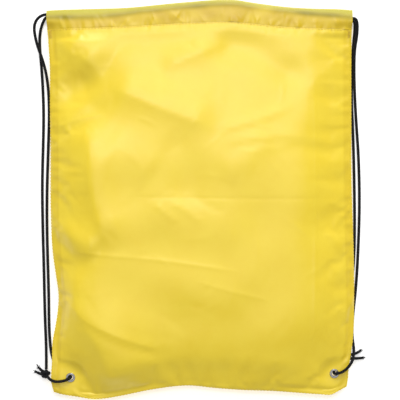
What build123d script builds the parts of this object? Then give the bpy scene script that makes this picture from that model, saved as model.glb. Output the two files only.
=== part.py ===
from build123d import *

import math
import os

os.makedirs("parts", exist_ok=True)

# A drawstring backpack lying on its back, in millimetres.
# +X is to the right of the front panel, +Y is towards the mouth, +Z is out of the front panel.
# The origin is at the centre of the underside, on the surface the bag lies on.

# ---- driving dimensions ----

CLOTH = 1.0  # thickness that each cloth layer is built with
HALF_WIDTH = 166.0  # half the width of the mouth, side edge to side edge
RIM_LOW = 10.0  # underside of the flat rim where the two panels are sewn together
PILLOW_TOP = 30.0  # outer height of the front panel's plateau
RIM_LAP = 19.0  # from the side edge to the foot of the panels' slopes
MOUTH_Y = 184.0  # where the panels end and the casings begin

# The crown is the level top of the front panel. The foot is where its slopes meet the rim.
CROWN_HALF_W = 90.0
CROWN_HALF_LENGTH = 120.0
CROWN_CUT = 18.0
FOOT_HALF_W = HALF_WIDTH - RIM_LAP
FOOT_LOW_Y = -198.0
FOOT_CUT = 58.0
CUT_SLANT = 0.92  # width of a cut corner as a share of its length
FRONT_RUN_OUT = 13.0  # how far beyond the mouth the front slopes aim before they are trimmed
BACK_RUN_OUT = 10.0
TRAY_SLOPE = 9.0  # how far the back panel's level bottom stands in from its brim
TRAY_CUT = 56.0

CASING_HEIGHT = 6.0  # outer thickness of a flattened casing tube
BACK_CASING_Z = 0.5  # underside of the back casing
FRONT_CASING_Z = 13.0  # underside of the front casing
CASING_RISE = 10.0  # how much further the casing reaches at mid width than at its ends
CASING_END_TOP = 206.0  # top edge of the casing at its ends
CASING_BOW = [(112, 0.1), (66, 0.5), (30, 1.0), (-8, 0.9), (-70, 0.3)]  # x, share of the rise
CHANNEL_OVERRUN = 10.0  # how far the hollow is cut past the casing's open ends

CORD_D = 3.2  # braided drawcord diameter
LEFT_LANE_Y = 200.2  # where the left drawcord runs in both casings
RIGHT_LANE_Y = 196.0  # where the right drawcord runs in both casings
CHANNEL_END_X = 167.0  # where a drawcord leaves the casing
RETURN_X = 162.4  # where a drawcord turns through the opposite mouth corner
RETURN_BEND = 3.3  # bend radius of that turn
NOTCH_LENGTH = 9.0  # how far each casing's inner cloth is cut back for that turn
NOTCH_WIDTH = 5.0
BEND_SHARE = 0.45  # share of the shorter run beside a bend that its arc takes up

LEFT_EYELET = (-140.3, -192.4)
RIGHT_EYELET = (145.6, -188.0)
EYELET_HOLE_R = 2.75
EYELET_BARREL_R = 3.25
EYELET_FLANGE_R = 5.0
EYELET_FLANGE_T = 1.0
EYELET_ROUND = 0.48  # rounding of the flange's outer and inner edges
EYELET_ROLL_R = 4.0
EYELET_ROLL_T = 0.6
WASHER_T = 0.8

THREAD = 0.5  # seam thread thickness
CASING_THREAD_Y = MOUTH_Y + 1.6
CASING_THREAD_MARGIN = 4.0  # bare cloth at each end of a casing's stitching
BARTACK_SIZE = (3.0, 8.0, 0.8)
BARTACK_INSET = 6.0  # from the side edge to the middle of the bartack
BARTACK_GAP = 1.0  # from the casing's seam to the bartack
BOTTOM_SEAM_Y = -195.0  # where the side seams give way to the bottom seam
KNOT_SIZE = (12.0, 10.0, 9.0)
KNOT_CHAMFER = 1.6
KNOT_Z = 4.9  # knot centre above the floor
LEFT_KNOT = (-169.0, -190.0, KNOT_Z)
RIGHT_KNOT = (160.0, -171.0, KNOT_Z)

RIM_MID = RIM_LOW + CLOTH  # where the two layers of the rim meet
RIM_TOP = RIM_MID + CLOTH
FRONT_LANE_Z = FRONT_CASING_Z + CASING_HEIGHT / 2
BACK_LANE_Z = BACK_CASING_Z + CASING_HEIGHT / 2
FAR = 500.0  # size of the blocks that trim away or keep everything on one side of a line

# The seam line round the bag, from the left mouth corner down and round to the right one.
SEAM_LINE = [
    (-163, MOUTH_Y), (-162, 60), (-161, -40), (-156, -105), (-160, -150), (-160, -206),
    (-134, -213), (-115, -216), (-86, -212), (-11, -202), (78, -207), (132, -211),
    (152, -206), (160, -197), (163, -160), (166, -110), (165, -30), (164, 60),
    (164, MOUTH_Y),
]

# Free routes of the drawcords, from where each leaves its casing.
LEFT_FRONT_ROUTE = [
    (-167, 200.2, 16), (-172.8, 200.2, 16), (-177.9, 198.2, 15.9), (-180.6, 192.4, 15.4),
    (-180.8, 183, 13.8), (-177.4, 167, 11), (-171.4, 148, 7.4), (-165.6, 124, 3.6),
    (-163.9, 92, 2), (-164.8, 48, 2), (-166.6, -2, 2), (-165.2, -54, 2),
    (-164, -104, 2), (-163.6, -142, 2), (-161, -168, 2.6), (-154.6, -183, 3.6),
    (-147.4, -191, 4.8), (-140.3, -192.4, 5.2), (-140.3, -192.4, 15.4),
    (-148, -195.6, 16.8), (-158, -196.8, 17), (-166, -194.4, 12.6), (-168.6, -191.6, 5.6),
]
LEFT_BACK_ROUTE = [
    (-167, 200.2, 3.5), (-171.5, 200.2, 3.5), (-175.6, 198.6, 3.2), (-177.4, 193.4, 2.8),
    (-176.9, 184, 2.5), (-174.6, 168, 2.1), (-172.4, 142, 2), (-170.1, 98, 2),
    (-170.7, 50, 2), (-172, 0, 2), (-170.3, -50, 2), (-168.7, -104, 2),
    (-167.5, -144, 2), (-167, -168, 2.8), (-168.4, -188, 4.2),
]
RIGHT_FRONT_ROUTE = [
    (167, 196, 16), (172.4, 196, 16), (177, 193, 15.8), (178.6, 187.4, 15),
    (177, 176, 12.8), (173, 159, 9), (169.8, 134, 4.4), (169.2, 98, 2),
    (171.6, 52, 2), (174, 2, 2), (172.4, -46, 2), (169.4, -98, 2),
    (165.8, -129, 2), (166.6, -150, 4.6), (169, -163, 10), (167.4, -173, 15.6),
    (161.6, -181.4, 17.2), (154, -187, 16.8), (145.6, -188, 15.8), (145.6, -188, 5),
    (148.6, -181, 4.6), (151.4, -174, 4.7), (158, -172, 4.8),
]
RIGHT_BACK_ROUTE = [
    (167, 196, 3.5), (171.3, 196, 3.5), (175, 193.2, 3.2), (176.4, 188, 2.8),
    (174.6, 177, 2.4), (169.6, 160, 2), (165.4, 134, 2), (164.6, 98, 2),
    (166.4, 50, 2), (168.2, 0, 2), (167.6, -44, 2), (165, -90, 2),
    (160.4, -124, 2), (158.6, -149, 2.8), (159.6, -168, 4.4),
]
LEFT_UPPER_TAIL = [(-173, -187.3, 4.6), (-177, -186.9, 4.2), (-179.4, -182.6, 3.4)]
LEFT_LOWER_TAIL = [(-173, -192.6, 4.2), (-177.6, -192.4, 3.4), (-181, -189.6, 2.2)]
RIGHT_UPPER_TAIL = [(164, -169, 4.4), (170.6, -168.4, 3.8), (175.6, -164.2, 2.4)]
RIGHT_LOWER_TAIL = [(164, -173.4, 4.4), (172, -173.6, 3.4), (180, -172, 2)]


# ---- cloth ----


def flat_plate(outline, low, high):
    """A level plate with the given plan outline."""
    face = make_face(Polyline(*outline, close=True))
    return extrude(Pos(0, 0, low) * face, amount=high - low)


def octagon(half_w, low_y, high_y, cut):
    """Plan outline of a rectangle with its two low corners cut off."""
    low_half_w = half_w - cut * CUT_SLANT
    return [
        (-half_w, high_y), (-half_w, low_y + cut), (-low_half_w, low_y),
        (low_half_w, low_y), (half_w, low_y + cut), (half_w, high_y),
    ]


def facet_block(low_outline, low_z, high_outline, high_z):
    """A block with planar sides between two level outlines whose edges are parallel."""
    low_face = Pos(0, 0, low_z) * make_face(Polyline(*low_outline, close=True))
    high_face = Pos(0, 0, high_z) * make_face(Polyline(*high_outline, close=True))
    return loft([low_face, high_face], ruled=True)


def mouth_trim():
    """Everything beyond the line where the panels meet their casings."""
    return Pos(0, MOUTH_Y + FAR / 2, 0) * Box(FAR, FAR, FAR)


def make_front_panel():
    """The front cloth: a flat rim and a faceted crown that falls towards the mouth."""
    foot = octagon(FOOT_HALF_W, FOOT_LOW_Y, MOUTH_Y + FRONT_RUN_OUT, FOOT_CUT)
    crown = octagon(CROWN_HALF_W, -CROWN_HALF_LENGTH, CROWN_HALF_LENGTH, CROWN_CUT)
    outer = facet_block(foot, RIM_TOP, crown, PILLOW_TOP)
    inner = Pos(0, 0, -CLOTH) * facet_block(foot, RIM_TOP, crown, PILLOW_TOP)
    rim = flat_plate(SEAM_LINE, RIM_MID, RIM_TOP)
    return rim + outer - inner - mouth_trim()


def make_back_panel():
    """The back cloth: a flat rim and a shallow tray with a level bottom, open at the mouth."""
    high_y = MOUTH_Y + BACK_RUN_OUT
    brim = octagon(FOOT_HALF_W, FOOT_LOW_Y, high_y, FOOT_CUT)
    bottom = octagon(FOOT_HALF_W - TRAY_SLOPE, FOOT_LOW_Y + TRAY_SLOPE, high_y, TRAY_CUT)
    outer = facet_block(bottom, 0, brim, RIM_LOW)
    inner = Pos(0, 0, CLOTH) * facet_block(bottom, 0, brim, RIM_LOW)
    rim = flat_plate(SEAM_LINE, RIM_LOW, RIM_MID)
    return rim + outer - inner - mouth_trim()


def casing_outline(inset):
    """Plan outline of a casing, whose far edge bows outwards at mid width."""
    end_x = HALF_WIDTH + (CHANNEL_OVERRUN if inset else 0)
    low = MOUTH_Y + 2 * inset
    top = CASING_END_TOP - inset
    bow = [(x, top + share * CASING_RISE) for x, share in CASING_BOW]
    return [(-end_x, low), (end_x, low), (end_x, top), *bow, (-end_x, top)]


def turn_notch(side, lane_y, wall_z):
    """The cut in a casing's inner cloth where a drawcord turns to the other casing."""
    return Pos(side * HALF_WIDTH, lane_y, wall_z) * Box(2 * NOTCH_LENGTH, NOTCH_WIDTH, 2 * CLOTH)


def make_casing(low_z, inner_wall_z):
    """A flattened cloth tube along the mouth, open at both ends for the drawcords."""
    body = flat_plate(casing_outline(0), low_z, low_z + CASING_HEIGHT)
    channel = flat_plate(casing_outline(CLOTH), low_z + CLOTH, low_z + CASING_HEIGHT - CLOTH)
    left_notch = turn_notch(-1, RIGHT_LANE_Y, inner_wall_z)
    right_notch = turn_notch(1, LEFT_LANE_Y, inner_wall_z)
    return body - channel - left_notch - right_notch


def eyelet_hole(place):
    """The hole through the rim that an eyelet's barrel fills."""
    return Pos(place[0], place[1], RIM_MID) * Cylinder(EYELET_BARREL_R, 6 * CLOTH)


# ---- seams ----


def make_casing_thread(low_z):
    """One row of stitching across the panel, just inside the casing's seam."""
    length = 2 * (HALF_WIDTH - CASING_THREAD_MARGIN)
    return Pos(0, CASING_THREAD_Y, low_z + THREAD / 2) * Box(length, THREAD, THREAD)


def make_seam_threads():
    """The threads along the edge where the two layers of the rim meet, left, bottom and right."""
    seam = make_face(Polyline(*SEAM_LINE, close=True))
    grown = offset(seam, amount=THREAD, kind=Kind.INTERSECTION)
    ring = extrude(Pos(0, 0, RIM_MID - THREAD / 2) * (grown - seam), amount=THREAD)
    trimmed = ring - mouth_trim()
    left = Pos(-FAR / 2, BOTTOM_SEAM_Y + FAR / 2, 0) * Box(FAR, FAR, FAR)
    right = Pos(FAR / 2, BOTTOM_SEAM_Y + FAR / 2, 0) * Box(FAR, FAR, FAR)
    bottom = Pos(0, BOTTOM_SEAM_Y - FAR / 2, 0) * Box(FAR, FAR, FAR)
    return {
        "left_side_seam_thread": trimmed & left,
        "bottom_seam_thread": trimmed & bottom,
        "right_side_seam_thread": trimmed & right,
    }


def make_bartack(side):
    """A dense block of stitching where a side seam stops below the casings."""
    x = side * (HALF_WIDTH - BARTACK_INSET)
    y = MOUTH_Y - BARTACK_GAP - BARTACK_SIZE[1] / 2
    return Pos(x, y, RIM_TOP + BARTACK_SIZE[2] / 2) * Box(*BARTACK_SIZE)


# ---- eyelets ----


def make_eyelet(place):
    """Front flange, barrel through the cloth and rolled back edge, turned as one piece."""
    top = RIM_TOP + EYELET_FLANGE_T
    low = RIM_LOW - WASHER_T - EYELET_ROLL_T
    flange = Pos(0, 0, RIM_TOP + EYELET_FLANGE_T / 2) * Cylinder(EYELET_FLANGE_R, EYELET_FLANGE_T)
    barrel = Pos(0, 0, (top + low) / 2) * Cylinder(EYELET_BARREL_R, top - low)
    roll = Pos(0, 0, low + EYELET_ROLL_T / 2) * Cylinder(EYELET_ROLL_R, EYELET_ROLL_T)
    bore = Pos(0, 0, (top + low) / 2) * Cylinder(EYELET_HOLE_R, 2 * (top - low))
    turned = flange + barrel + roll - bore
    turned = fillet(turned.edges().group_by(Axis.Z)[-1], EYELET_ROUND)
    return Pos(place[0], place[1], 0) * turned


def make_washer(place):
    """The loose ring that the barrel is rolled over on the inside of the rim."""
    z = RIM_LOW - WASHER_T / 2
    ring = Cylinder(EYELET_FLANGE_R, WASHER_T) - Cylinder(EYELET_BARREL_R, 2 * WASHER_T)
    return Pos(place[0], place[1], z) * ring


# ---- cords ----


def bend_radii(points):
    """A bend at each inner point, as large as the two runs beside it allow."""
    radii = []
    for before, here, after in zip(points, points[1:], points[2:]):
        run_in = Vector(*here) - Vector(*before)
        run_out = Vector(*after) - Vector(*here)
        half_turn = math.radians(run_in.get_angle(run_out)) / 2
        shorter = min(run_in.length, run_out.length)
        radii.append(BEND_SHARE * shorter / math.tan(half_turn))
    return radii


def cord_tube(name, points, radii=None):
    """A round cord of straight runs joined by tangent arcs along the route."""
    radii = radii or bend_radii(points)
    line = FilletPolyline(*points, radius=radii)
    start = Plane(origin=line @ 0, z_dir=line % 0)
    tube = sweep(start * Circle(CORD_D / 2), path=line)
    expected = math.pi * (CORD_D / 2) ** 2 * line.length
    print(
        name, "length", round(line.length, 1), "volume / expected",
        round(tube.volume / expected, 4), "radii", [round(r, 1) for r in radii],
    )
    return tube


def channel_cord(name, exit_side, lane_y):
    """The run of a drawcord inside both casings, round the far mouth corner and back."""
    out_x = exit_side * CHANNEL_END_X
    far_x = -exit_side * RETURN_X
    route = [
        (out_x, lane_y, FRONT_LANE_Z), (far_x, lane_y, FRONT_LANE_Z),
        (far_x, lane_y, BACK_LANE_Z), (out_x, lane_y, BACK_LANE_Z),
    ]
    return cord_tube(name, route, [RETURN_BEND, RETURN_BEND])


def make_knot(place):
    """The outer block of an overhand knot that ties both ends of a drawcord."""
    block = Box(*KNOT_SIZE)
    return Pos(*place) * chamfer(block.edges(), KNOT_CHAMFER)


# ---- assembly ----


def largest(shape):
    """The biggest solid, where trimming at a knot leaves a scrap beyond it."""
    return max(shape.solids(), key=lambda solid: solid.volume)


def make_nodes():
    """Every node of the bag by name."""
    holes = eyelet_hole(LEFT_EYELET) + eyelet_hole(RIGHT_EYELET)
    left_knot = make_knot(LEFT_KNOT)
    right_knot = make_knot(RIGHT_KNOT)
    nodes = {
        "front_panel": make_front_panel() - holes,
        "back_panel": make_back_panel() - holes,
        "front_casing": make_casing(FRONT_CASING_Z, FRONT_CASING_Z + CLOTH / 2),
        "back_casing": make_casing(BACK_CASING_Z, BACK_CASING_Z + CASING_HEIGHT - CLOTH / 2),
        "front_casing_thread": make_casing_thread(FRONT_CASING_Z + CASING_HEIGHT),
        "back_casing_thread": make_casing_thread(0),
        **make_seam_threads(),
        "left_mouth_bartack": make_bartack(-1),
        "right_mouth_bartack": make_bartack(1),
        "left_eyelet": make_eyelet(LEFT_EYELET),
        "left_eyelet_washer": make_washer(LEFT_EYELET),
        "right_eyelet": make_eyelet(RIGHT_EYELET),
        "right_eyelet_washer": make_washer(RIGHT_EYELET),
        "left_drawcord_channel": channel_cord("left_drawcord_channel", -1, LEFT_LANE_Y),
        "right_drawcord_channel": channel_cord("right_drawcord_channel", 1, RIGHT_LANE_Y),
        "left_knot": left_knot,
        "right_knot": right_knot,
    }
    free_cords = {
        "left_front_strand": (LEFT_FRONT_ROUTE, left_knot),
        "left_back_strand": (LEFT_BACK_ROUTE, left_knot),
        "right_front_strand": (RIGHT_FRONT_ROUTE, right_knot),
        "right_back_strand": (RIGHT_BACK_ROUTE, right_knot),
        "left_knot_upper_tail": (LEFT_UPPER_TAIL, left_knot),
        "left_knot_lower_tail": (LEFT_LOWER_TAIL, left_knot),
        "right_knot_upper_tail": (RIGHT_UPPER_TAIL, right_knot),
        "right_knot_lower_tail": (RIGHT_LOWER_TAIL, right_knot),
    }
    for name, (route, knot) in free_cords.items():
        nodes[name] = largest(cord_tube(name, route) - knot)
    return nodes


for node_name, solid in make_nodes().items():
    solid.label = node_name
    export_step(solid, f"parts/{node_name}.step")
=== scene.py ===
import math
import random

import bpy
import numpy as np
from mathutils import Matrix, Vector


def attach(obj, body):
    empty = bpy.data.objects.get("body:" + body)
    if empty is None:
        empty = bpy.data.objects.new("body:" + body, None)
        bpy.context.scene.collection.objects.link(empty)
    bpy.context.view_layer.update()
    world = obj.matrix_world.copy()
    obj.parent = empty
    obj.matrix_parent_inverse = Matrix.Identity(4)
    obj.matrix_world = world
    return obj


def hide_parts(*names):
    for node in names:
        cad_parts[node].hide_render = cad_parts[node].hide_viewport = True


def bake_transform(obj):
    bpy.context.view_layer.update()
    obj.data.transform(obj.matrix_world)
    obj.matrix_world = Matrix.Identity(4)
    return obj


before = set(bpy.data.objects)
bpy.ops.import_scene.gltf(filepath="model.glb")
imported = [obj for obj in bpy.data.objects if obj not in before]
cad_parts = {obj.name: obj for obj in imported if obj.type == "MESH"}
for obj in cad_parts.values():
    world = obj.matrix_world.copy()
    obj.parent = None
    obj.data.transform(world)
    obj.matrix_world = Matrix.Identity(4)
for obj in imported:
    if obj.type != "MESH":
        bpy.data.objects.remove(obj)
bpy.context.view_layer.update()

# A yellow drawstring backpack lying on its back, in the row's frame.
# Lengths are in millimetres, and turned into metres where a mesh is made.

MM = 0.001


# ---- camera ----

LENS = 85.0
SENSOR = 36.0
VIEW_WIDTH = 0.434  # what the picture spans at the height of the bag's rim
RIM_Z = 11.0


def make_camera():
    """A camera straight above the bag, with the mouth at the top of the picture."""
    data = bpy.data.cameras.new("camera")
    data.lens = LENS
    data.sensor_width = SENSOR
    camera = bpy.data.objects.new("camera", data)
    camera.location = (0, 0, RIM_Z * MM + VIEW_WIDTH * LENS / SENSOR)
    bpy.context.scene.collection.objects.link(camera)
    bpy.context.scene.camera = camera


make_camera()
bpy.context.scene.view_settings.view_transform = "Standard"

# ---- mesh helpers ----


def add_mesh(name, points_mm, faces):
    """A smooth-shaded mesh object from points in millimetres."""
    mesh = bpy.data.meshes.new(name)
    mesh.from_pydata((np.asarray(points_mm, float) * MM).tolist(), [], faces)
    mesh.polygons.foreach_set("use_smooth", [True] * len(mesh.polygons))
    mesh.validate()
    obj = bpy.data.objects.new(name, mesh)
    bpy.context.scene.collection.objects.link(obj)
    return obj


def dress(piece, node, slot_name):
    """Gives a piece the material of a slot, and hides the frame's part that it stands for."""
    piece.data.materials.append(MATERIALS[slot_name])
    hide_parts(node)


class Parts:
    """Points and faces gathered from many small shapes into one mesh."""

    def __init__(self):
        self.points = []
        self.faces = []

    def add(self, points, faces):
        first = len(self.points)
        self.points.extend(np.asarray(points, float).tolist())
        self.faces.extend(tuple(first + i for i in face) for face in faces)

    def make(self, name):
        return add_mesh(name, self.points, self.faces)


def distances_along(line):
    """How far along a line each of its points lies."""
    runs = np.linalg.norm(np.diff(line, axis=0), axis=1)
    return np.concatenate([[0], np.cumsum(runs)])


def resample(line, step):
    """The same line with points an even step apart."""
    along = distances_along(line)
    count = max(3, int(round(along[-1] / step)) + 1)
    wanted = np.linspace(0, along[-1], count)
    return np.stack([np.interp(wanted, along, line[:, i]) for i in range(3)], axis=1)


def cord_line(name, route, step=0.6):
    """Even points, in millimetres, along the smooth NURBS line that a cord's route controls."""
    curve = bpy.data.curves.new(name + "_line", "CURVE")
    curve.dimensions = "3D"
    curve.resolution_u = 24
    spline = curve.splines.new("NURBS")
    spline.points.add(len(route) - 1)
    for control, place in zip(spline.points, route):
        control.co = (*place, 1.0)
    spline.order_u = 3
    spline.use_endpoint_u = True
    holder = bpy.data.objects.new(name + "_line", curve)
    mesh = bpy.data.meshes.new_from_object(holder)
    line = np.array([v.co for v in mesh.vertices], float)
    bpy.data.objects.remove(holder)
    bpy.data.meshes.remove(mesh)
    return resample(line, step)


def turned(off, heading):
    """Distances along and across a heading."""
    x, y = off[..., 0], off[..., 1]
    return (
        x * math.cos(heading) + y * math.sin(heading),
        y * math.cos(heading) - x * math.sin(heading),
    )


def line_frames(line, closed=False):
    """Two steady cross directions along a line."""
    if closed:
        tangents = np.roll(line, -1, axis=0) - np.roll(line, 1, axis=0)
    else:
        tangents = np.gradient(line, axis=0)
    tangents /= np.linalg.norm(tangents, axis=1)[:, None]
    side = np.cross(tangents[0], [0, 0, 1.0])
    if np.linalg.norm(side) < 0.1:
        side = np.cross(tangents[0], [0, 1.0, 0])
    sides = []
    for tangent in tangents:
        side = side - tangent * np.dot(side, tangent)
        side /= np.linalg.norm(side)
        sides.append(side)
    sides = np.array(sides)
    return sides, np.cross(tangents, sides)


def tube(line, radius, around=16, relief=None, closed=False, taper=None):
    """Points and faces of a round tube along a line, with an optional surface relief."""
    sides, ups = line_frames(line, closed)
    angles = np.linspace(0, 2 * math.pi, around, endpoint=False)
    along = distances_along(line)
    radii = np.full((len(line), around), float(radius))
    if relief is not None:
        radii *= relief(along[:, None], angles[None, :])
    if taper is not None:
        radii *= taper(along / along[-1])[:, None]
    ring = (
        sides[:, None, :] * np.cos(angles)[None, :, None]
        + ups[:, None, :] * np.sin(angles)[None, :, None]
    )
    points = (line[:, None, :] + ring * radii[:, :, None]).reshape(-1, 3)
    faces = []
    rings = len(line)
    for i in range(rings if closed else rings - 1):
        here, there = i * around, ((i + 1) % rings) * around
        for j in range(around):
            k = (j + 1) % around
            faces.append((here + j, here + k, there + k, there + j))
    if not closed:
        faces.append(tuple(range(around - 1, -1, -1)))
        faces.append(tuple(range((rings - 1) * around, rings * around)))
    return points, faces


# ---- drawcords ----

CORD_D = 3.2
BRAID_PITCH = 5.2
BRAID_CARRIERS = 4
BRAID_LEAST = 0.95  # share of the radius in the braid's hollows
BRAID_RELIEF = 0.065

LEFT_FRONT_ROUTE = [
    (-166.6, 200.2, 16), (-170.6, 199.6, 16), (-175.8, 195.8, 15.8), (-179, 189.8, 15.2),
    (-179.4, 182, 13.8), (-177, 168.6, 11), (-172.4, 156, 8.4), (-167.8, 139, 5.2),
    (-165.4, 118, 3), (-164.9, 92, 2), (-166, 58, 2), (-167.7, 4, 2), (-167.3, -46, 2),
    (-165.4, -104, 2), (-165.2, -142, 2.2), (-162.8, -170, 2.8), (-155.5, -184, 3.8),
    (-147.4, -191, 4.8), (-140.3, -192.4, 5.2), (-140.3, -192.4, 15.4),
    (-146, -195.4, 16), (-156, -196.6, 16.2), (-163.6, -194.4, 12.2), (-166.4, -191.6, 6.6),
]
LEFT_BACK_ROUTE = [
    (-166.6, 200.2, 3.5), (-169, 199.2, 3.5), (-171.8, 194, 3.3), (-174.4, 186.2, 3),
    (-175.6, 176, 2.5), (-175, 162, 2.1), (-173, 140, 2), (-171.2, 106, 2),
    (-171.2, 74, 2), (-172.8, 22, 2), (-172.2, -28, 2), (-170.8, -76, 2),
    (-169.8, -126, 2), (-167.9, -166, 2.8), (-167.9, -185, 4.2),
]
RIGHT_FRONT_ROUTE = [
    (166.6, 196, 16), (168.6, 195.2, 16), (169.8, 191.4, 15.8), (170.2, 186, 15),
    (169.8, 176, 13), (168, 164, 10), (167.8, 146, 6.8), (168.8, 120, 4),
    (169.8, 104, 2.4), (171.2, 82, 2), (173.6, 48, 2), (174.8, 0, 2), (173.6, -46, 2),
    (171, -94, 2), (167.2, -126, 2), (165.8, -148, 4.6), (167.4, -162, 10),
    (165.4, -173, 15.2), (160, -181, 16.4), (153, -186.4, 16.2), (145.6, -188, 15.6),
    (145.6, -188, 5), (148.6, -181, 4.6), (151.4, -174, 4.7), (157, -172, 4.8),
]
RIGHT_BACK_ROUTE = [
    (166.6, 196, 3.5), (168.4, 195.2, 3.5), (169.4, 191.6, 3.2), (169.2, 185, 2.8),
    (168.2, 174, 2.4), (166.8, 158, 2), (165.9, 130, 2), (165.9, 104, 2),
    (167.4, 76, 2), (168.8, 24, 2), (169.4, -32, 2), (168.4, -68, 2),
    (164.6, -104, 2), (160.4, -128, 2), (158.6, -149, 2.8), (159.6, -167, 4.4),
]
TAIL_ROUTES = {
    "left_knot_upper_tail": [(-170, -187.6, 5), (-173.6, -186, 5), (-175.4, -183.6, 4)],
    "left_knot_lower_tail": [(-171, -190.6, 4.4), (-175.6, -189.8, 3.8), (-178, -188.4, 3)],
    "right_knot_upper_tail": [(163, -169, 4.4), (169.6, -168.6, 3.8), (174.2, -165.6, 2.8)],
    "right_knot_lower_tail": [(163, -173, 4.4), (171, -173.4, 3.2), (177, -172.8, 2.2)],
}
LEFT_KNOT = (-168.7, -190.0, 5.0)
RIGHT_KNOT = (160.0, -171.0, 4.9)
KNOT_SPREAD = (4.2, 3.2, 2.7)  # how far a knot's own line reaches from its middle


def braid(along, angle):
    """Relief of a round braid: two families of yarns crossing at a slant."""
    turn = 2 * math.pi * along / BRAID_PITCH
    one_way = np.cos(BRAID_CARRIERS * angle + turn * 2)
    other_way = np.cos(BRAID_CARRIERS * angle - turn * 2)
    return BRAID_LEAST + BRAID_RELIEF * np.maximum(one_way, other_way)


def make_strand(name, route):
    """A free strand from its casing to its knot."""
    line = cord_line(name, route)
    points, faces = tube(line, CORD_D / 2, relief=braid)
    strand = add_mesh(name + "_braid", points, faces)
    dress(strand, name, "cord")
    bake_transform(strand)


def knot_line(place, turn_deg, scale):
    """The closed line of a tight overhand knot, as a trefoil."""
    t = np.linspace(0, 2 * math.pi, 120, endpoint=False)
    x = (np.sin(t) + 2 * np.sin(2 * t)) / 3 * KNOT_SPREAD[0] * scale
    y = (np.cos(t) - 2 * np.cos(2 * t)) / 3 * KNOT_SPREAD[1] * scale
    z = -np.sin(3 * t) * KNOT_SPREAD[2] * scale
    x, y = turned(np.stack([x, y], axis=1), -math.radians(turn_deg))
    return np.stack([x, y, z], axis=1) + place


def make_knot(name, place):
    """Both cord ends pulled into one tight overhand knot."""
    parts = Parts()
    for turn_deg, scale in ((0, 1.0), (58, 0.82)):
        line = knot_line(place, turn_deg, scale)
        parts.add(*tube(line, CORD_D / 2, relief=braid, closed=True))
    knot = parts.make(name + "_braid")
    dress(knot, name, "cord")
    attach(knot, "bag")
    return knot


TAIL_STEP = 0.4
TAIL_TAPER = 0.12
FIBRES = 26
FIBRE_RADIUS = 0.34
FIBRE_REACH = (2.2, 4.2)
LOWEST_FIBRE = 0.9


def make_tail(name, route, seed):
    """A short cut end whose braid has opened into loose yarns."""
    rng = random.Random(seed)
    parts = Parts()
    line = cord_line(name, route, TAIL_STEP)
    parts.add(*tube(line, CORD_D / 2, relief=braid, taper=lambda s: 1 - TAIL_TAPER * s**3))
    tip = line[-1]
    heading = line[-1] - line[-4]
    heading /= np.linalg.norm(heading)
    for _ in range(FIBRES):
        spread = np.array([rng.uniform(-1, 1), rng.uniform(-1, 1), rng.uniform(-0.35, 0.5)])
        start = tip + spread * 0.6 - heading * 0.8
        reach = rng.uniform(*FIBRE_REACH)
        middle = start + heading * reach * 0.6 + spread * 0.5
        end = start + heading * reach + spread * rng.uniform(0.8, 2.2)
        end[2] = max(end[2], LOWEST_FIBRE)
        t = np.linspace(0, 1, 7)[:, None]
        yarn = start * (1 - t) ** 2 + 2 * middle * t * (1 - t) + end * t**2
        parts.add(*tube(yarn, FIBRE_RADIUS, around=5, taper=lambda s: 1 - 0.5 * s))
    tail = parts.make(name + "_frayed")
    dress(tail, name, "cord")
    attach(tail, "bag")
    return tail


# ---- materials ----


def node_material(name, roughness, colour, specular=0.5, sheen=0.0):
    """A Principled material, with its node tree and its shader."""
    material = bpy.data.materials.new(name)
    material.use_nodes = True
    tree = material.node_tree
    shader = tree.nodes["Principled BSDF"]
    shader.inputs["Base Color"].default_value = (*colour, 1)
    shader.inputs["Roughness"].default_value = roughness
    shader.inputs["Specular IOR Level"].default_value = specular
    shader.inputs["Sheen Weight"].default_value = sheen
    shader.inputs["Sheen Roughness"].default_value = 0.5
    return material, tree, shader


def add_node(tree, kind, **settings):
    node = tree.nodes.new(kind)
    for key, value in settings.items():
        if key in node.inputs:
            node.inputs[key].default_value = value
        else:
            setattr(node, key, value)
    return node


def noise(tree, scale, detail, roughness=0.5):
    """A noise value over the object's own coordinates."""
    coords = add_node(tree, "ShaderNodeTexCoord").outputs["Object"]
    node = add_node(tree, "ShaderNodeTexNoise", Scale=scale, Detail=detail, Roughness=roughness)
    tree.links.new(coords, node.inputs["Vector"])
    return node.outputs["Fac"]


def two_tones(tree, value, low, high, span=(0.0, 1.0)):
    """A colour between two tones, as a value rises over a span."""
    ramp = add_node(tree, "ShaderNodeValToRGB")
    for element, place, tone in zip(ramp.color_ramp.elements, span, (low, high)):
        element.position = place
        element.color = (*tone, 1)
    tree.links.new(value, ramp.inputs["Fac"])
    return ramp.outputs["Color"]


def vary_roughness(tree, shader, value, low, high):
    spread = add_node(tree, "ShaderNodeMapRange")
    spread.inputs["To Min"].default_value = low
    spread.inputs["To Max"].default_value = high
    tree.links.new(value, spread.inputs["Value"])
    tree.links.new(spread.outputs["Result"], shader.inputs["Roughness"])


def add_bump(tree, shader, height, strength, distance, under=None):
    """Relief on the shader's normal, on top of an earlier relief if there is one."""
    bump = add_node(tree, "ShaderNodeBump", Strength=strength, Distance=distance)
    tree.links.new(height, bump.inputs["Height"])
    if under is not None:
        tree.links.new(under, bump.inputs["Normal"])
    tree.links.new(bump.outputs["Normal"], shader.inputs["Normal"])
    return bump.outputs["Normal"]


def weave_height(tree, pitch):
    """Crossing threads of a plain weave, as a height from 0 to 1."""
    coords = add_node(tree, "ShaderNodeTexCoord").outputs["Object"]
    both = add_node(tree, "ShaderNodeMath", operation="MULTIPLY")
    for direction, side in zip(("X", "Y"), both.inputs):
        wave = add_node(
            tree, "ShaderNodeTexWave", bands_direction=direction, Scale=0.314 / pitch,
            Distortion=0.6,
        )
        tree.links.new(coords, wave.inputs["Vector"])
        tree.links.new(wave.outputs["Fac"], side)
    return both.outputs[0]


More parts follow.
